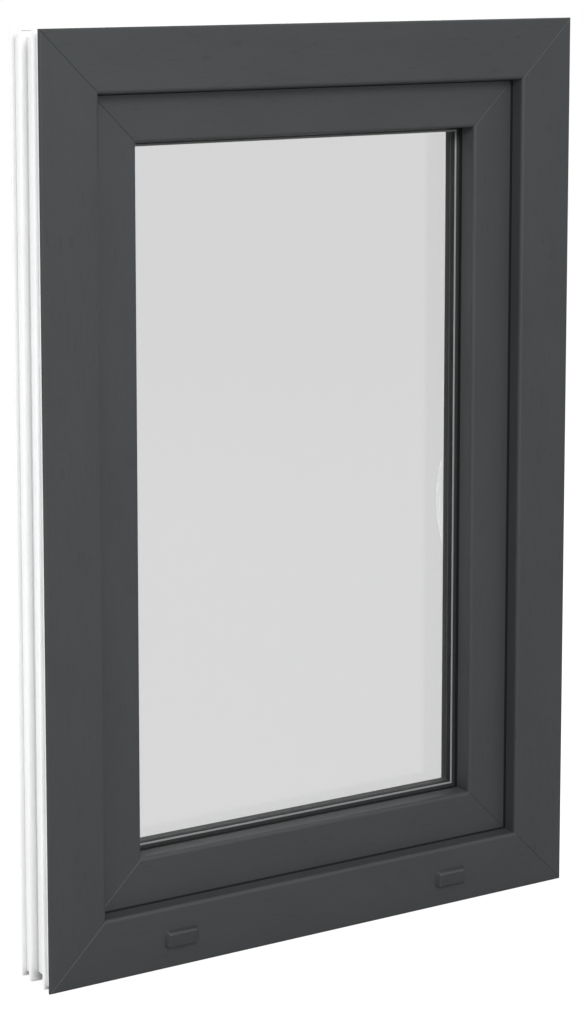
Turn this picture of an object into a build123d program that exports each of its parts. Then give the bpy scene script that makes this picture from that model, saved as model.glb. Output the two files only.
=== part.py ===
from build123d import *
import os

# A tilt and turn basement window: a mitred frame in a wall opening, a mitred sash set back behind
# the frame's lip, double glazing behind clip-in beads, and the fittings on the room side.
# X runs along the width, -Y is outside, +Z is up. All lengths are in millimetres.
# A profile section is drawn as (depth, reach): depth counts inwards from the frame's outside face,
# and reach counts from the window's outer edge towards its middle.

# Overall size
width = 600.0
height = 900.0

# Profile walls, the coloured foil and the edges
wall = 2.8
web = 1.8
foil = 0.8
lip_radius = 3.7
outer_radius = 2.0
small_radius = 0.8
mitre_groove = 0.7

# Frame profile, room side and rebate
frame_depth = 60.0
frame_sight = 60.0
frame_splay = 1.8
frame_body = 40.0
frame_leg = 42.0
lip_depth = 14.0
drain_channel_width = 9.0
drain_channel_drop = 2.5
rebate_ramp = 12.0

# Frame profile, wall side: the front edge, two hooked ribs and the back foot, with recesses between
front_edge = 2.8
front_recess = 4.0
outer_rib_start = 13.0
outer_rib_drop = 0.9
inner_rib_end = 43.0
rib_thickness = 2.0
hook_reach = 1.9
hook_height = 2.3
clip_recess = 8.3
back_recess = 4.7
back_foot = 3.0

# Sash profile
outer_seal_gap = 2.5
inner_seal_gap = 2.0
sash_clearance = 12.0
sash_sight = 107.8
flange_overlap = 8.0
flange_thickness = 14.5
glazing_rebate_height = 17.8
fitting_groove_width = 16.0
fitting_groove_depth = 3.0
fitting_slot_width = 12.0
fitting_slot_depth = 8.0
fitting_groove_offset = 3.0

# Glazing and its beads
glazing_seal = 3.0
pane = 4.0
cavity = 16.0
glass_clearance = 5.0
spacer_width = 6.5
spacer_reach = 5.2
edge_seal_gap = 1.0
bead_width = 10.3
bead_flat = 3.5
bead_top = 8.0
bead_radius = 3.0
bead_foot_depth = 3.7
bead_foot_width = 3.7
bead_foot_fit = 0.3
bead_foot_offset = 2.5
bead_wall = 2.0

# Seals
seal_foot_width = 2.4
seal_foot_depth = 3.4
seal_body = 6.5
frame_seal_lip = 1.1
glass_seal_lip = 0.8
flange_seal_width = 5.0
bead_seal_width = 5.0

# Drainage on the bottom frame member
drain_inset = 142.0
drain_height = 30.0
drain_slot_length = 28.0
drain_slot_height = 5.0
drain_cap_top_width = 34.0
drain_cap_base_width = 37.0
drain_cap_height = 15.0
drain_cap_stand = 5.0
drain_cap_slope = 2.6
drain_cap_wall = 1.2

# Handle on the right sash member, as seen from outside
handle_inset = 66.0
handle_height = 450.0
rose_width = 30.0
rose_height = 68.0
rose_thickness = 11.0
rose_radius = 9.0
rose_edge = 1.6
neck_diameter = 19.0
neck_edge = 2.0
lever_drop = 109.0
lever_peak_drop = 42.0
lever_root_stand = 30.0
lever_peak_stand = 46.0
lever_tip_stand = 33.5
lever_width = 20.0
lever_thickness = 13.0
lever_edge = 4.0

# Hinges on the left members, as seen from outside
hinge_diameter = 17.0
hinge_reach = 24.0
hinge_drop = 7.4
hinge_knuckle = 27.0
hinge_gap = 1.0
hinge_leaf = 2.5
hinge_leaf_reach = 26.0
hinge_from_corner = 58.0
hinge_leaf_radius = 4.0

# Places worked out from the sizes above
sash_face = lip_depth + outer_seal_gap
sash_edge = frame_body + sash_clearance
flange_front = frame_depth + inner_seal_gap
flange_edge = frame_leg - flange_overlap
sash_back = flange_front + flange_thickness
bead_front = sash_back - bead_width
inner_pane_face = bead_front - glazing_seal - pane
outer_pane_face = inner_pane_face - cavity - pane
glazing_back = outer_pane_face - glazing_seal
glazing_rebate = sash_sight - glazing_rebate_height
glass_edge = glazing_rebate + glass_clearance
outer_rib_end = outer_rib_start + rib_thickness
inner_rib_start = inner_rib_end - rib_thickness
back_foot_start = frame_depth - back_foot
lip_sight = frame_sight + frame_splay
origin_depth = inner_rib_start
room_face = sash_back - origin_depth


def section(points):
    return make_face(Polyline(*[(depth - origin_depth, reach) for depth, reach in points], close=True))


def rounded(face, corners, radius):
    for depth, reach in corners:
        target = Vector(depth - origin_depth, reach)
        vertex = min(face.vertices(), key=lambda v: (v.center() - target).length)
        face = fillet(vertex, radius)
    return face


def strip(depth_low, depth_high, reach_low, reach_high):
    return section([(depth_low, reach_low), (depth_high, reach_low),
                    (depth_high, reach_high), (depth_low, reach_high)])


# One straight member with its section, cut to 45 degrees at both ends
def mitred(face, length):
    span = 2 * sash_sight
    solid = extrude(Plane.YZ * face, length / 2, both=True)
    end = [(-length / 2 - span, 0), (-length / 2, 0), (-length / 2 + span, span), (-length / 2 - span, span)]
    cutter = extrude(Plane.XZ * make_face(Polyline(*end, close=True)), span, both=True)
    return solid - cutter - mirror(cutter, Plane.YZ)


# Each side's length, and where a member drawn as the bottom one goes
places = {
    "sill": (width, Pos(0, 0, 0)),
    "head": (width, Pos(0, 0, height) * Rot(0, 180, 0)),
    "jamb_left": (height, Pos(-width / 2, 0, height / 2) * Rot(0, 90, 0)),
    "jamb_right": (height, Pos(width / 2, 0, height / 2) * Rot(0, -90, 0)),
}


def member(face, side):
    length, place = places[side]
    return place * mitred(face, length)


def ring(face):
    pieces = [member(face, side) for side in places]
    return pieces[0].fuse(*pieces[1:]).clean()


# The outline of the frame profile, with its coloured outside surfaces moved in by inset
def frame_outline(inset):
    channel = lip_depth + drain_channel_width
    channel_reach = frame_body - drain_channel_drop
    outer_hook = outer_rib_drop + hook_height
    face = section([
        (inset, inset), (inset, frame_sight - inset), (lip_depth, lip_sight - inset),
        (lip_depth, channel_reach), (channel, channel_reach), (channel + rebate_ramp, frame_body),
        (frame_depth - wall, frame_body), (frame_depth - wall, frame_leg), (frame_depth, frame_leg),
        (frame_depth, 0), (back_foot_start, 0), (back_foot_start, back_recess),
        (inner_rib_end, back_recess), (inner_rib_end, 0),
        (inner_rib_start - hook_reach, 0), (inner_rib_start - hook_reach, hook_height),
        (inner_rib_start, hook_height), (inner_rib_start, clip_recess),
        (outer_rib_end, clip_recess), (outer_rib_end, outer_hook),
        (outer_rib_end + hook_reach, outer_hook), (outer_rib_end + hook_reach, outer_rib_drop),
        (outer_rib_start, outer_rib_drop), (outer_rib_start, front_recess),
        (front_edge, front_recess), (front_edge, inset),
    ])
    face = rounded(face, [(inset, inset)], outer_radius - inset)
    face = rounded(face, [(inset, frame_sight - inset)], lip_radius - inset)
    return rounded(face, [(frame_depth, 0), (frame_depth, frame_leg)], small_radius)


def seal_groove(depth, reach):
    return strip(depth - seal_foot_depth, depth, reach - seal_foot_width / 2, reach + seal_foot_width / 2)


frame_seal_reach = frame_sight - wall - seal_foot_width / 2
flange_seal_reach = flange_edge + flange_overlap / 2
glazing_seal_reach = sash_sight - wall - seal_foot_width / 2


# One chamber in the lip, one behind the outside wall, a wide one for the reinforcement, two room side
def frame_chambers():
    body_high = frame_body - drain_channel_drop - wall
    lip_chamber = strip(foil + wall, lip_depth - wall, body_high + web,
                        frame_seal_reach - seal_foot_width / 2 - wall)
    front = strip(foil + wall, outer_rib_start, front_recess + wall, body_high)
    main = strip(outer_rib_end, inner_rib_start, clip_recess + wall, body_high)
    back_low = strip(inner_rib_end, frame_depth - wall, back_recess + wall, frame_body / 2 - web / 2)
    back_high = strip(inner_rib_end, frame_depth - wall, frame_body / 2 + web / 2, frame_body - wall)
    return [lip_chamber, front, main, back_low, back_high]


def frame_core_section():
    face = frame_outline(foil) - seal_groove(lip_depth, frame_seal_reach)
    for chamber in frame_chambers():
        face = face - chamber
    return face


def frame_foil_section():
    return frame_outline(0) - frame_outline(foil)


# The outline of the sash profile, with its coloured outside surfaces moved in by inset
def sash_outline(inset):
    foot_start = bead_front + bead_foot_offset
    foot_end = foot_start + bead_foot_width
    foot_end_reach = glazing_rebate - bead_foot_depth - bead_foot_fit
    fitting_end = flange_front - fitting_groove_offset
    fitting_start = fitting_end - fitting_groove_width
    slot_start = fitting_start + (fitting_groove_width - fitting_slot_width) / 2
    slot_end = slot_start + fitting_slot_width
    groove_end_reach = sash_edge + fitting_groove_depth
    slot_end_reach = groove_end_reach + fitting_slot_depth
    face = section([
        (sash_face + inset, sash_edge), (sash_face + inset, sash_sight - inset),
        (glazing_back, sash_sight - inset), (glazing_back, glazing_rebate),
        (foot_start, glazing_rebate), (foot_start, foot_end_reach), (foot_end, foot_end_reach),
        (foot_end, glazing_rebate), (sash_back, glazing_rebate), (sash_back, flange_edge),
        (flange_front, flange_edge), (flange_front, sash_edge), (fitting_end, sash_edge),
        (fitting_end, groove_end_reach), (slot_end, groove_end_reach), (slot_end, slot_end_reach),
        (slot_start, slot_end_reach), (slot_start, groove_end_reach),
        (fitting_start, groove_end_reach), (fitting_start, sash_edge),
    ])
    face = rounded(face, [(sash_face + inset, sash_sight - inset)], lip_radius - inset)
    return rounded(face, [(sash_back, flange_edge)], lip_radius)


def sash_chambers():
    slot_end_reach = sash_edge + fitting_groove_depth + fitting_slot_depth
    top = glazing_rebate - bead_foot_depth - bead_foot_fit - wall
    front_end = glazing_back - web
    front = strip(sash_face + foil + wall, front_end, sash_edge + wall, top)
    lip_chamber = strip(sash_face + foil + wall, glazing_back - wall, top + web,
                        glazing_seal_reach - seal_foot_width / 2 - wall)
    main = strip(glazing_back, flange_front - web, slot_end_reach + wall, top)
    back = strip(flange_front, sash_back - wall, sash_edge + wall, top)
    flange = strip(flange_front + seal_foot_depth + web, sash_back - wall, flange_edge + wall,
                   sash_edge + wall - web)
    return [front, lip_chamber, main, back, flange]


def flange_seal_foot():
    return strip(flange_front, flange_front + seal_foot_depth,
                 flange_seal_reach - seal_foot_width / 2, flange_seal_reach + seal_foot_width / 2)


def sash_core_section():
    face = sash_outline(foil) - seal_groove(glazing_back, glazing_seal_reach) - flange_seal_foot()
    for chamber in sash_chambers():
        face = face - chamber
    return face


def sash_foil_section():
    return sash_outline(0) - sash_outline(foil)


# A hollow bead with a snap-in foot, sloped towards the room
def bead_section():
    foot_start = bead_front + bead_foot_offset + bead_foot_fit
    foot_end = bead_front + bead_foot_offset + bead_foot_width - bead_foot_fit
    foot_end_reach = glazing_rebate - bead_foot_depth
    shoulder = bead_front + bead_flat
    face = section([
        (bead_front, glazing_rebate), (bead_front, sash_sight), (shoulder, sash_sight),
        (sash_back, glazing_rebate + bead_top), (sash_back, glazing_rebate),
        (foot_end, glazing_rebate), (foot_end, foot_end_reach), (foot_start, foot_end_reach),
        (foot_start, glazing_rebate),
    ])
    face = rounded(face, [(shoulder, sash_sight), (sash_back, glazing_rebate + bead_top)], bead_radius)
    near = bead_front + bead_wall
    far = sash_back - bead_wall
    low = glazing_rebate + bead_wall
    high = sash_sight - 2 * bead_wall
    return face - section([
        (near, low), (near, high), (shoulder, high), (far, glazing_rebate + bead_top - bead_wall), (far, low),
    ])


# A seal that fills a gap behind a lip: its foot sits in the lip's groove and its own lip shows past the lip
def lip_seal_section(depth, gap, sight, past_sight, foot_reach):
    body = section([(depth, sight - seal_body), (depth, sight - foil),
                    (depth + gap, sight + past_sight), (depth + gap, sight - seal_body)])
    return body + seal_groove(depth, foot_reach)


def flange_seal_section():
    low = flange_seal_reach - flange_seal_width / 2
    return strip(frame_depth, flange_front, low, low + flange_seal_width) + flange_seal_foot()


def bead_seal_section():
    back_of_glass = inner_pane_face + pane
    low = sash_sight - bead_seal_width
    return section([(back_of_glass, low), (bead_front, low), (bead_front, sash_sight),
                    (back_of_glass, sash_sight + glass_seal_lip)])


# The shallow V that a dressed corner weld leaves along both mitres of the face at one depth
def weld_grooves(depth, reach, length):
    run = 2 * reach * 2 ** 0.5
    side = mitre_groove * 2 ** 0.5
    bar = Rot(45, 0, 0) * Box(run, side, side)
    low = Pos(-length / 2, depth - origin_depth, 0) * Rot(0, -45, 0) * bar
    return low + mirror(low, Plane.YZ)


def welded(face, depth, reach, side):
    length, place = places[side]
    return place * (mitred(face, length) - weld_grooves(depth, reach, length))


# Slots through the outside wall, behind the caps
def outlet_slots():
    deep = 2 * (foil + wall)
    return [Pos(x, -origin_depth, drain_height) * Box(drain_slot_length, deep, drain_slot_height)
            for x in (-width / 2 + drain_inset, width / 2 - drain_inset)]


# Slots from the rebate's channel down into the outside chamber, clear of the outlets
def channel_slots():
    inset = drain_inset + 2 * drain_slot_length
    depth = outer_rib_start - drain_slot_height / 2
    return [Pos(x, depth - origin_depth, frame_body - drain_channel_drop) *
            Box(drain_slot_length, drain_slot_height, 3 * wall)
            for x in (-width / 2 + inset, width / 2 - inset)]


# A hooded cap over a drain slot, with sloped sides and open below
def drain_cap(x):
    half = drain_cap_height / 2

    def trapezium(base, top, high):
        return make_face(Polyline((-base / 2, -half), (base / 2, -half), (top / 2, high), (-top / 2, high),
                                  close=True))

    back = trapezium(drain_cap_base_width, drain_cap_top_width, half)
    front = trapezium(drain_cap_base_width - drain_cap_slope, drain_cap_top_width - 2 * drain_cap_slope,
                      half - drain_cap_slope)
    shell = loft([Plane.XZ * back, Plane.XZ.offset(drain_cap_stand) * front])
    deep = drain_cap_stand - drain_cap_wall
    tall = drain_cap_height - 2 * drain_cap_slope
    pocket = Pos(0, -deep / 2, tall / 2 - half) * Box(drain_slot_length, deep, tall)
    return Pos(x, -origin_depth, drain_height) * (shell - pocket)


def glass_sheet(depth):
    return Pos(0, depth + pane / 2 - origin_depth, height / 2) * Box(
        width - 2 * glass_edge, pane, height - 2 * glass_edge)


def spacer_section():
    high = sash_sight + spacer_reach
    return strip(outer_pane_face + pane, inner_pane_face, high - spacer_width, high)


def edge_seal_section():
    high = sash_sight + spacer_reach - spacer_width
    return strip(outer_pane_face + pane, inner_pane_face, glass_edge + edge_seal_gap, high)


handle_x = width / 2 - handle_inset


def handle_rose():
    plate = extrude(RectangleRounded(rose_width, rose_height, rose_radius), rose_thickness)
    plate = chamfer(plate.faces().sort_by(Axis.Z)[-1].edges(), rose_edge)
    return Pos(handle_x, room_face, handle_height) * Rot(-90, 0, 0) * plate


# A bowed lever on a round neck: a bar with round ends, cut from its side outline and broadly chamfered
def handle_lever():
    peak = (lever_peak_stand, -lever_peak_drop)
    bow = ThreePointArc((lever_root_stand, 0), peak, (lever_tip_stand, -lever_drop))
    grip = extrude(Plane.YZ * SlotArc(bow, lever_thickness), lever_width / 2, both=True)
    rims = grip.edges().group_by(Axis.X)
    grip = chamfer(rims[0] + rims[-1], lever_edge)
    neck_length = lever_root_stand + lever_thickness / 2 - rose_thickness
    neck = Pos(0, rose_thickness, 0) * Rot(-90, 0, 0) * Cylinder(
        neck_diameter / 2, neck_length, align=(Align.CENTER, Align.CENTER, Align.MIN))
    neck = chamfer(neck.faces().sort_by(Axis.Y)[-1].edges(), neck_edge)
    return Pos(handle_x, room_face, handle_height) * (grip + neck)


# A hinge knuckle with a leaf: on the frame's room face, or wrapped onto the sash's room face
def hinge_piece(low, on_sash):
    axis_x = -width / 2 + hinge_reach
    axis_y = room_face - hinge_drop
    frame_face = frame_depth - origin_depth
    barrel = Pos(axis_x, axis_y, low) * Cylinder(
        hinge_diameter / 2, hinge_knuckle, align=(Align.CENTER, Align.CENTER, Align.MIN))
    barrel = chamfer(barrel.edges().filter_by(GeomType.CIRCLE), small_radius)
    web_tall = hinge_knuckle - 2 * small_radius
    middle = low + hinge_knuckle / 2
    if on_sash:
        leaf_low = -width / 2 + flange_edge
        leaf_face = room_face
        link_wide = leaf_low + hinge_leaf_radius - axis_x
        link = Pos(axis_x + link_wide / 2, leaf_face + (hinge_leaf - hinge_drop) / 2, middle) * Box(
            link_wide, hinge_leaf + hinge_drop, web_tall)
        link = link - Pos(leaf_low + hinge_leaf_radius, leaf_face - hinge_drop, middle) * Box(
            2 * hinge_leaf_radius, 2 * hinge_drop, hinge_knuckle)
    else:
        leaf_low = axis_x + hinge_diameter / 2 - hinge_leaf_reach
        leaf_face = frame_face
        link = Pos(axis_x, (frame_face + axis_y) / 2, middle) * Box(
            hinge_diameter / 2, axis_y - frame_face, web_tall)
    plate = extrude(RectangleRounded(hinge_leaf_reach, hinge_knuckle, hinge_leaf_radius), hinge_leaf)
    leaf = Pos(leaf_low + hinge_leaf_reach / 2, leaf_face, middle) * Rot(-90, 0, 0) * plate
    return barrel + leaf + link


def build_nodes():
    nodes = {}
    frame_core = frame_core_section()
    frame_foil = frame_foil_section()
    sash_core = sash_core_section()
    sash_foil = sash_foil_section()
    bead = bead_section()
    for side in places:
        nodes["frame_" + side] = welded(frame_core, frame_depth, frame_leg, side)
        nodes["frame_" + side + "_foil"] = welded(frame_foil, 0, lip_sight, side)
        nodes["sash_" + side] = welded(sash_core, sash_back, glazing_rebate, side)
        nodes["sash_" + side + "_foil"] = welded(sash_foil, sash_face, sash_sight, side)
        nodes["bead_" + side] = member(bead, side)
    for slot in outlet_slots():
        nodes["frame_sill"] = nodes["frame_sill"] - slot
        nodes["frame_sill_foil"] = nodes["frame_sill_foil"] - slot
    for slot in channel_slots():
        nodes["frame_sill"] = nodes["frame_sill"] - slot
    nodes["frame_seal"] = ring(lip_seal_section(
        lip_depth, outer_seal_gap, lip_sight, frame_seal_lip, frame_seal_reach))
    nodes["sash_seal"] = ring(flange_seal_section())
    nodes["glazing_seal_outer"] = ring(lip_seal_section(
        glazing_back, glazing_seal, sash_sight, glass_seal_lip, glazing_seal_reach))
    nodes["glazing_seal_inner"] = ring(bead_seal_section())
    nodes["glass_outer"] = glass_sheet(outer_pane_face)
    nodes["glass_inner"] = glass_sheet(inner_pane_face)
    nodes["glass_spacer"] = ring(spacer_section())
    nodes["glass_edge_seal"] = ring(edge_seal_section())
    nodes["drain_cap_left"] = drain_cap(-width / 2 + drain_inset)
    nodes["drain_cap_right"] = drain_cap(width / 2 - drain_inset)
    nodes["handle_rose"] = handle_rose()
    nodes["handle_lever"] = handle_lever()
    for name, low in (("lower", hinge_from_corner),
                      ("upper", height - hinge_from_corner - 2 * hinge_knuckle - hinge_gap)):
        nodes["hinge_" + name + "_frame_leaf"] = hinge_piece(low, False)
        nodes["hinge_" + name + "_sash_leaf"] = hinge_piece(low + hinge_knuckle + hinge_gap, True)
    return nodes


os.makedirs("parts", exist_ok=True)
for name, shape in build_nodes().items():
    export_step(shape, "parts/" + name + ".step")
    print(name, round(shape.volume, 1))
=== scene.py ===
import math

import bmesh
import bpy
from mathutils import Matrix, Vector


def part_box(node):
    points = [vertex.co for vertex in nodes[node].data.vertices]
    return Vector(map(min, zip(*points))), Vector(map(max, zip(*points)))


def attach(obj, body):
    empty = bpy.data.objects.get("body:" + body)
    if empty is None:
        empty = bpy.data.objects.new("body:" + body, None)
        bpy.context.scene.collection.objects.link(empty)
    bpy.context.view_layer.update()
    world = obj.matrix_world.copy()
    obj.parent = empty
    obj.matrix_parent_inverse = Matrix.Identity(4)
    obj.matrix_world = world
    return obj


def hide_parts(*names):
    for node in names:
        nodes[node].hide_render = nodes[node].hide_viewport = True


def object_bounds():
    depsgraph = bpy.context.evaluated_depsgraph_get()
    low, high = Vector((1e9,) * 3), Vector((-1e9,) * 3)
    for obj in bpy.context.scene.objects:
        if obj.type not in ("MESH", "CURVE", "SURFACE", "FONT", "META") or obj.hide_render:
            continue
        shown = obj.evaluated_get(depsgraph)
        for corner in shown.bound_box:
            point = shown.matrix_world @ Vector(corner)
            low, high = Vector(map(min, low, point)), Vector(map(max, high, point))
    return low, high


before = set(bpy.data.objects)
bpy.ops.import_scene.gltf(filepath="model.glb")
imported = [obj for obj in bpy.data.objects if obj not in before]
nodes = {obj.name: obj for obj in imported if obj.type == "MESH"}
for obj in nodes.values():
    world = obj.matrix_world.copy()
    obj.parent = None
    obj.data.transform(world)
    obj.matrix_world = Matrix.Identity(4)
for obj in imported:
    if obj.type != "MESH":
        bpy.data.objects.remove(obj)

cadLow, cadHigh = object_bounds()
bpy.ops.object.select_all(action="DESELECT")
print("frame loaded:", len(nodes), "nodes")

mm = 0.001  # everything is in metres, and sizes are written as so many mm

# camera, at the photo's viewing angle, from the left front and above
cameraSetup = {
    "place": (-1.4233, -2.2466, 0.9876),
    "yaw": 32.23,  # degrees to the right of straight on
    "pitch": -7.39,
    "lens": 96.72,
    "shift": -0.22,  # the view window slides down, so the uprights stay close to parallel
}


def makeCamera(setup):
    turn = (math.radians(90 + setup["pitch"]), 0, math.radians(-setup["yaw"]))
    bpy.ops.object.camera_add(location=setup["place"], rotation=turn)
    camera = bpy.context.object
    camera.name = "photoCamera"
    camera.data.lens = setup["lens"]
    camera.data.shift_y = setup["shift"]
    bpy.context.scene.camera = camera


makeCamera(cameraSetup)
bpy.context.scene.view_settings.view_transform = "Standard"
print("camera placed")

# soft studio light, the key from the upper left as in the photo
lightSetup = {
    "key": {"place": (-0.7, -2.5, 2.25), "size": 1.3, "watts": 54},
    "front": {"place": (-0.3, -3.0, 0.42), "size": 0.8, "watts": 12},
    "side": {"place": (-1.5, 0.09, 0.45), "size": 0.32, "height": 0.85, "watts": 6.8,
             "highlight": False},  # behind the front face, so it lights only the white edge and the handle
    "fill": {"place": (-0.9, 2.7, 1.9), "size": 2.2, "watts": 34},
    "right": {"place": (2.8, 0.7, 1.1), "size": 1.0, "watts": 16},
}
worldSetup = {"seen": (1.0, 1.0, 1.0), "lights": (0.70, 0.70, 0.705)}
behindGlass = 0.776  # the room behind the glass is a little darker than the white around it


def makeLight(name, setup):
    bpy.ops.object.light_add(type="AREA", location=setup["place"])
    light = bpy.context.object
    light.name = name
    light.data.shape = "ELLIPSE"
    light.data.size = setup["size"]
    light.data.size_y = setup.get("height", setup["size"])
    light.data.energy = setup["watts"]
    light.visible_camera = False
    light.visible_glossy = setup.get("highlight", True)
    light.visible_transmission = False  # a lamp doesn't show through the glass
    aim = Vector((0, 0, (cadLow.z + cadHigh.z) / 2)) - light.location
    light.rotation_euler = aim.to_track_quat("-Z", "Y").to_euler()


# helpers for node trees; a value is a number or the output of another node
def connect(tree, value, slot):
    if isinstance(value, (int, float)):
        slot.default_value = value
    else:
        tree.links.new(value, slot)


def maths(tree, operation, *values):
    node = tree.nodes.new("ShaderNodeMath")
    node.operation = operation
    for value, slot in zip(values, node.inputs):
        connect(tree, value, slot)
    return node.outputs[0]


# the first value where share is 0, and the second where it is 1
def choose(tree, share, first, second):
    node = tree.nodes.new("ShaderNodeMix")
    tree.links.new(share, node.inputs["Factor"])
    connect(tree, first, node.inputs["A"])
    connect(tree, second, node.inputs["B"])
    return node.outputs["Result"]


def mixShaders(tree, share, first, second):
    mix = tree.nodes.new("ShaderNodeMixShader")
    tree.links.new(share, mix.inputs["Fac"])
    tree.links.new(first.outputs[0], mix.inputs[1])
    tree.links.new(second.outputs[0], mix.inputs[2])
    return mix


def rayKind(tree, name):
    return tree.nodes.new("ShaderNodeLightPath").outputs["Is " + name + " Ray"]


# 1 for rays that are seen directly or through the glass, and 0 for those that only light
def seenRays(tree):
    return maths(tree, "MAXIMUM", rayKind(tree, "Camera"), rayKind(tree, "Transmission"))


# the same, and 1 for mirrored rays too
def seenOrMirrored(tree):
    return maths(tree, "MAXIMUM", seenRays(tree), rayKind(tree, "Glossy"))


# one number for what is seen directly, and another for what is seen through the glass
def throughGlass(tree, openValue, glassValue):
    return choose(tree, rayKind(tree, "Transmission"), openValue, glassValue)


def makeWorld(setup):
    world = bpy.data.worlds.new("studio")
    world.use_nodes = True
    tree = world.node_tree
    tree.nodes.clear()
    seen = tree.nodes.new("ShaderNodeBackground")
    seen.inputs["Color"].default_value = (*setup["seen"], 1)
    tree.links.new(throughGlass(tree, 1.0, behindGlass), seen.inputs["Strength"])
    lights = tree.nodes.new("ShaderNodeBackground")
    lights.inputs["Color"].default_value = (*setup["lights"], 1)
    mix = mixShaders(tree, seenOrMirrored(tree), lights, seen)
    out = tree.nodes.new("ShaderNodeOutputWorld")
    tree.links.new(mix.outputs[0], out.inputs["Surface"])
    bpy.context.scene.world = world


floorSetup = {
    "size": 40.0,
    "pale": 0.42,
    "shadowShare": 0.26,  # how much of the object's shadow shows on it
    "glow": 0.84,
    "glassShadowShare": 0.02,
}


# a pale floor that lights the object plainly and shows white, apart from the object's soft shadow
def makeFloor(setup):
    bpy.ops.mesh.primitive_plane_add(size=setup["size"], location=(0, 0, cadLow.z))
    floor = bpy.context.object
    floor.name = "floor"
    material = bpy.data.materials.new("paleFloor")
    material.use_nodes = True
    tree = material.node_tree
    tree.nodes.clear()
    plain = tree.nodes.new("ShaderNodeBsdfDiffuse")
    plain.inputs["Color"].default_value = (setup["pale"],) * 3 + (1,)
    shadow = tree.nodes.new("ShaderNodeBsdfDiffuse")
    share = throughGlass(tree, setup["shadowShare"], setup["glassShadowShare"])
    tree.links.new(share, shadow.inputs["Color"])
    glow = tree.nodes.new("ShaderNodeEmission")
    glassGlow = behindGlass - setup["glassShadowShare"] * worldSetup["lights"][0]
    tree.links.new(throughGlass(tree, setup["glow"], glassGlow), glow.inputs["Strength"])
    both = tree.nodes.new("ShaderNodeAddShader")
    tree.links.new(shadow.outputs[0], both.inputs[0])
    tree.links.new(glow.outputs[0], both.inputs[1])
    mix = mixShaders(tree, seenRays(tree), plain, both)
    out = tree.nodes.new("ShaderNodeOutputMaterial")
    tree.links.new(mix.outputs[0], out.inputs["Surface"])
    floor.data.materials.append(material)


for name, setup in lightSetup.items():
    makeLight(name + "Light", setup)
makeWorld(worldSetup)
makeFloor(floorSetup)
print("lights, background and floor made")


# helpers for materials: a new one, noise on object coordinates, and what follows from noise
def newMaterial(name, color, roughness, specular=0.5):
    material = bpy.data.materials.new(name)
    material.use_nodes = True
    tree = material.node_tree
    shader = tree.nodes["Principled BSDF"]
    shader.inputs["Base Color"].default_value = (*color, 1)
    shader.inputs["Roughness"].default_value = roughness
    shader.inputs["Specular IOR Level"].default_value = specular
    return material, tree, shader


# how far each point is from a place on one axis, to either side
def awayFrom(tree, axis, centre):
    place = tree.nodes.new("ShaderNodeTexCoord")
    parts = tree.nodes.new("ShaderNodeSeparateXYZ")
    tree.links.new(place.outputs["Object"], parts.inputs[0])
    return maths(tree, "ABSOLUTE", maths(tree, "SUBTRACT", parts.outputs[axis], centre))


def objectNoise(tree, scale, detail=2.0, roughness=0.55):
    place = tree.nodes.new("ShaderNodeTexCoord")
    mapping = tree.nodes.new("ShaderNodeMapping")
    mapping.inputs["Scale"].default_value = scale
    noise = tree.nodes.new("ShaderNodeTexNoise")
    noise.inputs["Scale"].default_value = 1.0
    noise.inputs["Detail"].default_value = detail
    noise.inputs["Roughness"].default_value = roughness
    tree.links.new(place.outputs["Object"], mapping.inputs["Vector"])
    tree.links.new(mapping.outputs["Vector"], noise.inputs["Vector"])
    return noise.outputs["Fac"]


midNoise = (0.3, 0.7)  # the range that a plain noise mostly keeps to
wholeRange = (0.0, 1.0)


# the source's range spread over the range of values
def ramp(tree, source, limits, values):
    node = tree.nodes.new("ShaderNodeMapRange")
    node.inputs["From Min"].default_value, node.inputs["From Max"].default_value = limits
    node.inputs["To Min"].default_value, node.inputs["To Max"].default_value = values
    tree.links.new(source, node.inputs["Value"])
    return node.outputs["Result"]


def times(tree, first, second):
    return maths(tree, "MULTIPLY", first, second)


def tint(tree, shader, color, shade):
    scaled = tree.nodes.new("ShaderNodeVectorMath")
    scaled.operation = "SCALE"
    scaled.inputs[0].default_value = color
    tree.links.new(shade, scaled.inputs["Scale"])
    tree.links.new(scaled.outputs["Vector"], shader.inputs["Base Color"])


def addBump(tree, shader, height, distance):
    bump = tree.nodes.new("ShaderNodeBump")
    bump.inputs["Distance"].default_value = distance
    bump.inputs["Strength"].default_value = 1.0
    tree.links.new(height, bump.inputs["Height"])
    tree.links.new(bump.outputs["Normal"], shader.inputs["Normal"])


# the finish's roughness, varied with a noise by the spread
def spreadRoughness(tree, shader, source, limits, roughness, spread):
    values = (roughness + spread[0], roughness + spread[1])
    tree.links.new(ramp(tree, source, limits, values), shader.inputs["Roughness"])


# scale of a noise whose streaks run along one axis: so many waves a metre along it and across it
def alongAxis(axis, along, across):
    scale = [across, across, across]
    scale["xyz".index(axis)] = along
    return tuple(scale)


foilFinish = {
    "color": (0.038, 0.0413, 0.0431),
    "roughness": 0.47,
    "specular": 0.34,
    "pores": (55.0, 620.0),  # waves a metre along the member and across it
    "poreDetail": 4.0,
    "poreGrit": 0.6,
    "poreRange": (0.28, 0.44),
    "poreShade": 0.86,
    "poreDepth": 0.05 * mm,
    "poreRoughRange": (0.3, 0.6),
    "poreRoughSpread": (0.08, 0.0),
    "flecks": (60.0, 240.0),
    "fleckRange": (0.31, 0.37),
    "fleckShade": 0.87,
    "clouds": (9.0, 30.0),
    "cloudShade": (0.955, 1.045),
    "weldHalf": 0.7 * mm,  # half the width of a weld's groove, which is as deep
    "weldBlur": 0.2,
    # a painted highlight: the walls of the weld grooves are made this much paler than the foil
    "weldPaintedHighlight": 1.4,
}


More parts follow.
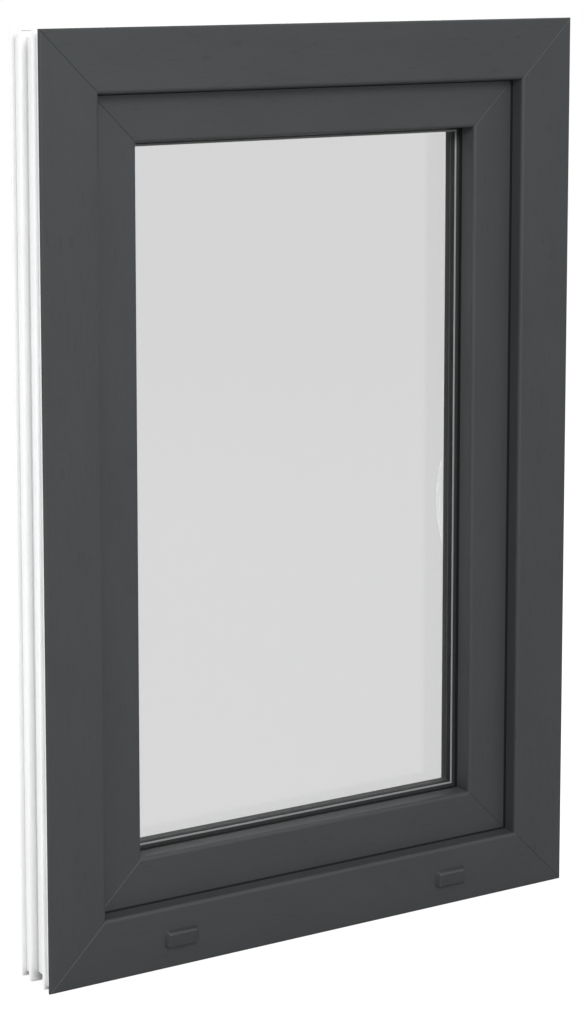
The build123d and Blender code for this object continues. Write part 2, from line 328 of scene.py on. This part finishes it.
# how far each point is from the mitres of the frame's or the sash's face, to the side or behind it
def fromWelds(tree):
    fromMiddle = awayFrom(tree, "X", (cadLow.x + cadHigh.x) / 2)
    fromHalfway = awayFrom(tree, "Z", (cadLow.z + cadHigh.z) / 2)
    longer = ((cadHigh.z - cadLow.z) - (cadHigh.x - cadLow.x)) / 2
    offMitre = maths(tree, "SUBTRACT", maths(tree, "SUBTRACT", fromHalfway, fromMiddle), longer)
    toSide = maths(tree, "MULTIPLY", maths(tree, "ABSOLUTE", offMitre), math.sqrt(0.5))
    behindFrame, behindSash = (awayFrom(tree, "Y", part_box(node)[0].y)
                               for node in ("frame_head_foil", "sash_head_foil"))
    return maths(tree, "MAXIMUM", toSide, maths(tree, "MINIMUM", behindFrame, behindSash))


# laminated foil: fine pores and sparse dark flecks along the member, soft clouds, and weld grooves made
# paler by a painted highlight
def foilMaterial(name, axis, finish):
    material, tree, shader = newMaterial(name, finish["color"], finish["roughness"], finish["specular"])
    pores = objectNoise(tree, alongAxis(axis, *finish["pores"]), finish["poreDetail"], finish["poreGrit"])
    flecks = objectNoise(tree, alongAxis(axis, *finish["flecks"]))
    clouds = objectNoise(tree, alongAxis(axis, *finish["clouds"]))
    fleckShade = ramp(tree, flecks, finish["fleckRange"], (finish["fleckShade"], 1.0))
    poreShade = ramp(tree, pores, finish["poreRange"], (finish["poreShade"], 1.0))
    cloudShade = ramp(tree, clouds, midNoise, finish["cloudShade"])
    weldRange = (finish["weldHalf"], finish["weldHalf"] * (1 + finish["weldBlur"]))
    # painted highlight on the walls of the weld grooves
    weldPaintedHighlight = ramp(tree, fromWelds(tree), weldRange, (finish["weldPaintedHighlight"], 1.0))
    grainShade = times(tree, times(tree, poreShade, fleckShade), cloudShade)
    tint(tree, shader, finish["color"], times(tree, grainShade, weldPaintedHighlight))
    spreadRoughness(tree, shader, pores, finish["poreRoughRange"], finish["roughness"],
                    finish["poreRoughSpread"])
    addBump(tree, shader, poreShade, finish["poreDepth"])
    return material


profileFinish = {
    "color": (0.86, 0.864, 0.864),
    "roughness": 0.34,
    "specular": 0.45,
    "drawLines": (1.5, 900.0),  # waves a metre along the member and across it
    "lineDepth": 0.004 * mm,
    "lineRoughSpread": (-0.04, 0.05),
    "clouds": 14.0,
    "cloudShade": (0.985, 1.01),
}


# white extruded plastic: very faint lines from the die, along the member
def profileMaterial(name, axis, finish):
    material, tree, shader = newMaterial(name, finish["color"], finish["roughness"], finish["specular"])
    lines = objectNoise(tree, alongAxis(axis, *finish["drawLines"]))
    clouds = objectNoise(tree, (finish["clouds"],) * 3)
    tint(tree, shader, finish["color"], ramp(tree, clouds, midNoise, finish["cloudShade"]))
    spreadRoughness(tree, shader, lines, midNoise, finish["roughness"], finish["lineRoughSpread"])
    addBump(tree, shader, lines, finish["lineDepth"])
    return material


sealFinish = {
    "color": (0.008, 0.008, 0.0083),
    "roughness": 0.66,
    "specular": 0.12,
    "grain": 900.0,
    "grainShade": (0.85, 1.15),
    "grainDepth": 0.03 * mm,
}


def sealMaterial(finish):
    material, tree, shader = newMaterial("blackRubber", finish["color"], finish["roughness"],
                                         finish["specular"])
    grain = objectNoise(tree, (finish["grain"],) * 3)
    tint(tree, shader, finish["color"], ramp(tree, grain, midNoise, finish["grainShade"]))
    addBump(tree, shader, grain, finish["grainDepth"])
    return material


glassFinish = {
    "color": (0.938, 0.9395, 0.939),
    "index": 1.5,
    "gloss": 0.18,  # weak reflections, as the photo shows none
    "waves": 3.0,
    "waveDetail": 1.0,
    "waveDepth": 0.01 * mm,
}


# float glass: it lets the lamps through, and tints what is seen behind it
def glassMaterial(finish):
    material, tree, shader = newMaterial("floatGlass", finish["color"], 0.0, finish["gloss"])
    shader.inputs["Transmission Weight"].default_value = 1.0
    shader.inputs["IOR"].default_value = finish["index"]
    waves = objectNoise(tree, (finish["waves"],) * 3, finish["waveDetail"])
    addBump(tree, shader, waves, finish["waveDepth"])
    clear = tree.nodes.new("ShaderNodeBsdfTransparent")
    clear.inputs["Color"].default_value = (*finish["color"], 1)
    mix = mixShaders(tree, rayKind(tree, "Shadow"), shader, clear)
    tree.links.new(mix.outputs[0], tree.nodes["Material Output"].inputs["Surface"])
    return material


spacerFinish = {
    "color": (0.016, 0.0163, 0.0166),
    "specular": 0.06,
    "roughness": 0.6,
    # painted light: the side glued to the outer pane is made this much lighter, for the light its narrow gap
    # lacks
    "sidePaintedLight": 4.0,  # the side glued to the outer pane
    "sideDepth": 0.3 * mm,
    "rimPaintedHighlight": 33.0,  # and a painted highlight on its rim, along the sight edge
    "rimWidth": 1.8 * mm,
    "rimBlur": 0.15,  # a share of its width
    "seamShade": 4.0,
    "seamWidth": 1.6 * mm,
    "bandBlur": 0.15,
    "grain": 500.0,
    "grainDepth": 0.02 * mm,
}


# a band across the depth: 1 inside it and 0 outside, with a soft edge
def depthBand(tree, centre, width, blur):
    limits = (width * (0.5 - blur), width * (0.5 + blur))
    return ramp(tree, awayFrom(tree, "Y", centre), limits, (1.0, 0.0))


# how far a place on a ring is from the ring's inner edge, over the picture plane
def fromInnerEdge(tree, ring, low, high):
    past = []
    for axis, index in (("X", 0), ("Z", 2)):
        centre = (low[index] + high[index]) / 2
        inner = min(abs(corner.co[index] - centre) for corner in ring.data.vertices)
        past.append(maths(tree, "SUBTRACT", awayFrom(tree, axis, centre), inner))
    return maths(tree, "MAXIMUM", *past)


# dark coated spacer: a paler seam along its middle, painted light on the side at the outer pane, and a
# painted highlight on that side's rim along the sight edge
def spacerMaterial(finish):
    material, tree, shader = newMaterial("spacerBar", finish["color"], finish["roughness"],
                                         finish["specular"])
    low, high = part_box("glass_spacer")
    side = depthBand(tree, low.y, finish["sideDepth"], finish["bandBlur"])
    seam = depthBand(tree, (low.y + high.y) / 2, finish["seamWidth"], finish["bandBlur"])
    edge = fromInnerEdge(tree, nodes["glass_spacer"], low, high)
    rimLimits = (finish["rimWidth"] * (1 - finish["rimBlur"]), finish["rimWidth"] * (1 + finish["rimBlur"]))
    # painted highlight along the rim, and painted light on the rest of the side at the outer pane
    rim = ramp(tree, edge, rimLimits, (finish["rimPaintedHighlight"], finish["sidePaintedLight"]))
    sidePaintedLight = choose(tree, side, 1.0, rim)
    seamShade = ramp(tree, seam, wholeRange, (1.0, finish["seamShade"]))
    tint(tree, shader, finish["color"], times(tree, sidePaintedLight, seamShade))
    grain = objectNoise(tree, (finish["grain"],) * 3)
    addBump(tree, shader, grain, finish["grainDepth"])
    return material


moulded = {
    "edgeSeal": {"color": (0.016, 0.016, 0.017), "roughness": 0.7, "grain": 300.0, "depth": 0.05 * mm},
    "capPlastic": {"color": (0.031, 0.0335, 0.0355), "roughness": 0.16, "grain": 350.0, "depth": 0.001 * mm},
    "whiteLacquer": {"color": (0.86, 0.865, 0.865), "roughness": 0.24, "grain": 420.0, "depth": 0.008 * mm},
    "whiteHinge": {"color": (0.85, 0.855, 0.855), "roughness": 0.3, "grain": 600.0, "depth": 0.01 * mm},
    "pinSteel": {"color": (0.56, 0.56, 0.57), "roughness": 0.3, "grain": 900.0, "depth": 0.01 * mm},
}
mouldedShade = (0.97, 1.03)
mouldedRoughSpread = (-0.03, 0.05)


def mouldedMaterial(name, finish):
    material, tree, shader = newMaterial(name, finish["color"], finish["roughness"])
    grain = objectNoise(tree, (finish["grain"],) * 3)
    tint(tree, shader, finish["color"], ramp(tree, grain, midNoise, mouldedShade))
    spreadRoughness(tree, shader, grain, midNoise, finish["roughness"], mouldedRoughSpread)
    addBump(tree, shader, grain, finish["depth"])
    return material


materials = {
    "foilLevel": foilMaterial("outsideFoilLevel", "x", foilFinish),
    "foilUpright": foilMaterial("outsideFoilUpright", "z", foilFinish),
    "profileLevel": profileMaterial("whiteProfileLevel", "x", profileFinish),
    "profileUpright": profileMaterial("whiteProfileUpright", "z", profileFinish),
    "seal": sealMaterial(sealFinish),
    "glass": glassMaterial(glassFinish),
    "spacer": spacerMaterial(spacerFinish),
}
for name, finish in moulded.items():
    materials[name] = mouldedMaterial(name, finish)
materials["pinSteel"].node_tree.nodes["Principled BSDF"].inputs["Metallic"].default_value = 1.0
print("materials made:", len(materials))


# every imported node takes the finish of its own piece
def finishOf(name):
    upright = "jamb" in name
    if "seal" in name:
        return "edgeSeal" if name == "glass_edge_seal" else "seal"
    if name.endswith("_foil"):
        return "foilUpright" if upright else "foilLevel"
    if name.startswith(("frame", "sash", "bead")):
        return "profileUpright" if upright else "profileLevel"
    if name == "glass_spacer":
        return "spacer"
    if name.startswith("glass"):
        return "glass"
    if name.startswith("drain_cap"):
        return "capPlastic"
    if name.startswith("handle"):
        return "whiteLacquer"
    return "whiteHinge"


for name, node in nodes.items():
    node.data.materials.clear()
    node.data.materials.append(materials[finishOf(name)])
print("finishes on the packed nodes")


# helpers for modelling: selecting one piece, a box or a round bar to start from, and edit mode
def selectOnly(piece):
    bpy.ops.object.select_all(action="DESELECT")
    piece.select_set(True)
    bpy.context.view_layer.objects.active = piece


def named(name):
    piece = bpy.context.object
    piece.name = name
    bpy.ops.object.transform_apply(location=True, rotation=True, scale=True)
    return piece


def startBox(name, low, high):
    centre = [(a + b) / 2 for a, b in zip(low, high)]
    size = [b - a for a, b in zip(low, high)]
    bpy.ops.mesh.primitive_cube_add(size=1, location=centre, scale=size)
    return named(name)


def startBar(name, centre, radius, length, sides, turn=(0, 0, 0)):
    bpy.ops.mesh.primitive_cylinder_add(vertices=sides, radius=radius, depth=length,
                                        location=centre, rotation=turn)
    return named(name)


def editOn(piece):
    selectOnly(piece)
    bpy.ops.object.mode_set(mode="EDIT")


# selects the faces or edges that pass a test on where they are, as their numbers change with each step
def pick(piece, kind, test):
    bpy.ops.mesh.select_mode(type=kind)
    bpy.ops.mesh.select_all(action="DESELECT")
    mesh = bmesh.from_edit_mesh(piece.data)
    items = mesh.faces if kind == "FACE" else mesh.edges
    for item in items:
        if test(item):
            item.select_set(True)
    mesh.select_flush_mode()
    bmesh.update_edit_mesh(piece.data)


def editOff():
    bpy.ops.object.mode_set(mode="OBJECT")
    bpy.ops.object.select_all(action="DESELECT")


sameWay = 0.99  # how closely a face has to look along a direction


def facing(direction):
    wanted = Vector(direction)
    return lambda face: face.normal.dot(wanted) > sameWay


def middleOf(item):
    return sum((v.co for v in item.verts), Vector()) / len(item.verts)


def extrudeBy(move):
    bpy.ops.mesh.extrude_region_move(TRANSFORM_OT_translate={"value": move})


def smoothPiece(piece, degrees=35):
    selectOnly(piece)
    bpy.ops.object.shade_smooth_by_angle(angle=math.radians(degrees))
    piece.select_set(False)


def joinInto(piece, others):
    selectOnly(piece)
    for other in others:
        other.select_set(True)
    bpy.ops.object.join()
    bpy.ops.object.select_all(action="DESELECT")


# the same piece again, moved: a copy with its own mesh
def copyPiece(piece, name, move):
    selectOnly(piece)
    bpy.ops.object.duplicate(linked=False)
    bpy.context.object.location = move
    copy = named(name)
    bpy.ops.object.select_all(action="DESELECT")
    return copy


def uniteWith(piece, others):
    for other in others:
        selectOnly(piece)
        bpy.ops.object.modifier_add(type="BOOLEAN")
        union = piece.modifiers[-1]
        union.operation = "UNION"
        union.object = other
        bpy.ops.object.modifier_apply(modifier=union.name)
        bpy.ops.object.select_all(action="DESELECT")
        other.select_set(True)
        bpy.ops.object.delete()


def bevelEdges(piece, offset, segments, test):
    pick(piece, "EDGE", test)
    bpy.ops.mesh.bevel(offset=offset, segments=segments, profile=0.5)


def dress(piece, material):
    piece.data.materials.clear()
    piece.data.materials.append(material)


def handOver(piece, node):
    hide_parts(node)
    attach(piece, "root")


near = 0.1 * mm  # how close a point counts as lying on a face


def isUpright(edge):
    return abs(edge.verts[0].co.z - edge.verts[1].co.z) > near


def acrossDepth(edge):
    return abs(edge.verts[0].co.y - edge.verts[1].co.y) > near


# edges that lie on or behind a depth
def behind(depth):
    return lambda edge: all(v.co.y > depth - near for v in edge.verts)


drainCap = {
    "slopeIn": 2.6 * mm,
    "topShare": 34 / 37,  # the top's length over the foot's
    "wall": 1.2 * mm,
    "edgeRound": 1.5 * mm,
    "roundSteps": 5,
}


# a hooded drain cap: sloped sides and top, rounded edges, open below
def makeDrainCap(name, node, size):
    low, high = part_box(node)
    wide, tall = high.x - low.x, high.z - low.z
    centre = (low + high) / 2
    cap = startBox(name, low, high)
    editOn(cap)
    pick(cap, "FACE", facing((0, 0, 1)))
    bpy.ops.transform.resize(value=(size["topShare"], 1, 1), center_override=(centre.x, centre.y, high.z))
    pick(cap, "FACE", facing((0, -1, 0)))
    frontShare = ((wide - 2 * size["slopeIn"]) / wide, 1, (tall - size["slopeIn"]) / tall)
    bpy.ops.transform.resize(value=frontShare, center_override=(centre.x, low.y, low.z))

    def outsideEdge(edge):
        atBack = all(v.co.y > high.y - near for v in edge.verts)
        below = all(v.co.z < low.z + near for v in edge.verts)
        return not atBack and not below

    bevelEdges(cap, size["edgeRound"], size["roundSteps"], outsideEdge)
    pick(cap, "FACE", facing((0, 0, -1)))
    bpy.ops.mesh.inset(thickness=size["wall"])
    extrudeBy((0, 0, tall - 2 * size["slopeIn"]))
    editOff()
    dress(cap, materials["capPlastic"])
    smoothPiece(cap)
    return cap


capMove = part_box("drain_cap_right")[0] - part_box("drain_cap_left")[0]
leftCap = makeDrainCap("drainCapLeft", "drain_cap_left", drainCap)
rightCap = copyPiece(leftCap, "drainCapRight", capMove)
handOver(leftCap, "drain_cap_left")
handOver(rightCap, "drain_cap_right")
print("drain caps made")


rosePlate = {
    "base": 1.2 * mm,
    "baseInset": 0.5 * mm,
    "corner": 9 * mm,
    "cornerSteps": 9,
    "edgeRound": 2.0 * mm,
    "roundSteps": 5,
}


# the handle's plate: a thin base and a rounded cover over its screws
def makeRose(size):
    low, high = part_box("handle_rose")
    step = size["baseInset"]
    base = startBox("handleRoseBase", (low.x + step, low.y, low.z + step),
                    (high.x - step, low.y + 2 * size["base"], high.z - step))
    cover = startBox("handleRose", (low.x, low.y + size["base"], low.z), high)
    for piece, corner in ((base, size["corner"] - step), (cover, size["corner"])):
        editOn(piece)
        bevelEdges(piece, corner, size["cornerSteps"], acrossDepth)
        if piece is cover:
            bevelEdges(piece, size["edgeRound"], size["roundSteps"], behind(high.y))
        editOff()
    uniteWith(cover, [base])
    dress(cover, materials["whiteLacquer"])
    smoothPiece(cover)
    return cover


lever = {
    "rootStand": 30 * mm,  # how far the middle of the bar stands off the sash at its root, peak and tip
    "peakStand": 46 * mm,
    "tipStand": 33.5 * mm,
    "peakDrop": 42 * mm,
    "drop": 109 * mm,
    "wide": 20 * mm,
    "thick": 13 * mm,
    "corner": 5.6 * mm,
    "cornerSteps": 7,
    "bowSteps": 20,  # few enough that a step is longer than the rounded end
    "endRound": 5.2 * mm,
    "endSteps": 7,
    "neck": 19 * mm,
    "neckSides": 64,
    "neckInRose": 1 * mm,
    "neckRound": 2.4 * mm,
    "neckSteps": 5,
    "smoothBelow": 40,  # degrees
}


# the middle and radius of the circle through three points of a side view
def circleThrough(first, second, third):
    (ay, az), (by, bz), (cy, cz) = first, second, third
    scale = 2 * (ay * (bz - cz) + by * (cz - az) + cy * (az - bz))
    a, b, c = ay * ay + az * az, by * by + bz * bz, cy * cy + cz * cz
    y = (a * (bz - cz) + b * (cz - az) + c * (az - bz)) / scale
    z = (a * (cy - by) + b * (ay - cy) + c * (by - ay)) / scale
    return y, z, math.hypot(ay - y, az - z)


# the edges round a spun bar's two ends, which are its only faces with more than four corners
def atManySided(edge):
    return any(len(face.verts) > 4 for face in edge.link_faces)


# the bowed bar: a rounded section spun about the middle of the bow, with rounded ends, on a round neck
def makeLever(size):
    roseLow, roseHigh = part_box("handle_rose")
    x = (roseLow.x + roseHigh.x) / 2
    top = (roseLow.z + roseHigh.z) / 2
    root = (roseLow.y + size["rootStand"], top)
    peak = (roseLow.y + size["peakStand"], top - size["peakDrop"])
    tip = (roseLow.y + size["tipStand"], top - size["drop"])
    middleY, middleZ, radius = circleThrough(root, peak, tip)
    spare = size["thick"] / 2 / radius
    startAngle = math.atan2(root[1] - middleZ, root[0] - middleY) + spare
    endAngle = math.atan2(tip[1] - middleZ, tip[0] - middleY) - spare
    place = (x, middleY + radius * math.cos(startAngle), middleZ + radius * math.sin(startAngle))
    bpy.ops.mesh.primitive_plane_add(size=1, location=place, rotation=(startAngle, 0, 0))
    bpy.context.object.scale = (size["wide"], size["thick"], 1)
    bar = named("handleLever")
    editOn(bar)
    bpy.ops.mesh.select_all(action="SELECT")
    bpy.ops.mesh.bevel(offset=size["corner"], segments=size["cornerSteps"], profile=0.5, affect="VERTICES")
    bpy.ops.mesh.select_all(action="SELECT")
    bpy.ops.mesh.spin(steps=size["bowSteps"], angle=startAngle - endAngle,
                      center=(x, middleY, middleZ), axis=(1, 0, 0))
    bpy.ops.mesh.select_all(action="SELECT")
    bpy.ops.mesh.normals_make_consistent(inside=False)
    bevelEdges(bar, size["endRound"], size["endSteps"], atManySided)
    editOff()
    neckLow = roseHigh.y - size["neckInRose"]
    neckHigh = root[0] + size["thick"] / 2
    neck = startBar("handleNeck", (x, (neckLow + neckHigh) / 2, top), size["neck"] / 2,
                    neckHigh - neckLow, size["neckSides"], turn=(math.radians(90), 0, 0))
    editOn(neck)
    bevelEdges(neck, size["neckRound"], size["neckSteps"], behind(neckHigh))
    editOff()
    uniteWith(bar, [neck])
    dress(bar, materials["whiteLacquer"])
    smoothPiece(bar, size["smoothBelow"])
    return bar


handOver(makeRose(rosePlate), "handle_rose")
handOver(makeLever(lever), "handle_lever")
print("handle made")


hinge = {
    "radius": 8.5 * mm,
    "sides": 64,
    "barrelRound": 1.2 * mm,
    "barrelSteps": 4,
    "leafThick": 2.5 * mm,
    "leafWide": 26 * mm,
    "leafCorner": 4 * mm,
    "cornerSteps": 6,
    "leafRound": 0.7 * mm,
    "leafSteps": 3,
    "linkHalf": 4.25 * mm,  # half the width of the foot under the frame leaf's barrel
    "linkRound": 0.8 * mm,
    "linkSteps": 3,
    "headRadius": 4.4 * mm,
    "headGap": 0.2 * mm,
    "headRecess": 0.7 * mm,
    "headRound": 0.4 * mm,
    "headSteps": 3,
    "pinRadius": 3.4 * mm,
    "pinShows": 0.9 * mm,
    "pinSides": 48,
    "smoothBelow": 40,  # degrees
}


# one knuckle with its leaf: the frame's leaf lies on the frame, the sash's on the sash's room face
def makeHingeLeaf(name, node, onSash, size):
    low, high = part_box(node)
    radius = size["radius"]
    axisX = low.x + radius if onSash else high.x - radius
    axisY = low.y + radius if onSash else high.y - radius
    middle = (low.z + high.z) / 2
    barrel = startBar(name, (axisX, axisY, middle), radius, high.z - low.z, size["sides"])
    editOn(barrel)
    bevelEdges(barrel, size["barrelRound"], size["barrelSteps"], lambda edge: not isUpright(edge))
    outward = 1 if onSash else -1
    endZ = high.z if onSash else low.z
    pick(barrel, "FACE", facing((0, 0, outward)))
    bpy.ops.mesh.inset(thickness=radius - size["barrelRound"] - size["headRadius"] - near)
    extrudeBy((0, 0, -outward * size["headRecess"]))
    editOff()
    leafLow = high.x - size["leafWide"] if onSash else low.x
    leafFace = high.y - size["leafThick"] if onSash else low.y
    leafTop = leafFace + size["leafThick"]
    leafHigh = leafLow + size["leafWide"]
    leaf = startBox(name + "Leaf", (leafLow, leafFace, low.z), (leafHigh, leafTop, high.z))
    leafMiddle = leafLow + size["leafWide"] / 2
    onTop = behind(leafTop)

    def farCorner(edge):
        return acrossDepth(edge) and (middleOf(edge).x > leafMiddle) == onSash

    def leafRim(edge):
        return onTop(edge) and (not onSash or middleOf(edge).x > leafLow + near)

    editOn(leaf)
    bevelEdges(leaf, size["leafCorner"], size["cornerSteps"], farCorner)
    bevelEdges(leaf, size["leafRound"], size["leafSteps"], leafRim)
    editOff()
    slim = size["linkRound"]

    def linkCorner(edge):
        middle = middleOf(edge)
        return isUpright(edge) and middle.y > leafTop - near and middle.x < axisX + near

    if onSash:
        link = startBox(name + "Link", (axisX, axisY, low.z + slim), (leafLow, leafTop, high.z - slim))
        editOn(link)
        bevelEdges(link, slim, size["linkSteps"], linkCorner)
        editOff()
    else:
        link = startBox(name + "Link", (axisX - size["linkHalf"], low.y, low.z + slim),
                        (axisX + size["linkHalf"], axisY, high.z - slim))
    uniteWith(barrel, [link, leaf])
    dress(barrel, materials["whiteHinge"])
    head = startBar(name + "Head", (axisX, axisY, endZ - outward * size["headRecess"]),
                    size["headRadius"] - size["headGap"], 2 * size["headRecess"], size["pinSides"])

    def headRim(edge):
        return not isUpright(edge) and abs(middleOf(edge).z - endZ) < near

    editOn(head)
    bevelEdges(head, size["headRound"], size["headSteps"], headRim)
    editOff()
    dress(head, materials["pinSteel"])
    extras = [head]
    if not onSash:
        pin = startBar(name + "Pin", (axisX, axisY, high.z), size["pinRadius"],
                       2 * size["pinShows"], size["pinSides"])
        dress(pin, materials["pinSteel"])
        extras.append(pin)
    joinInto(barrel, extras)
    smoothPiece(barrel, size["smoothBelow"])
    return barrel


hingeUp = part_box("hinge_upper_frame_leaf")[0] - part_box("hinge_lower_frame_leaf")[0]
for side, onSash in (("Frame", False), ("Sash", True)):
    ending = "_" + side.lower() + "_leaf"
    lower = makeHingeLeaf("hingeLower" + side + "Leaf", "hinge_lower" + ending, onSash, hinge)
    upper = copyPiece(lower, "hingeUpper" + side + "Leaf", hingeUp)
    handOver(lower, "hinge_lower" + ending)
    handOver(upper, "hinge_upper" + ending)
print("hinges made")
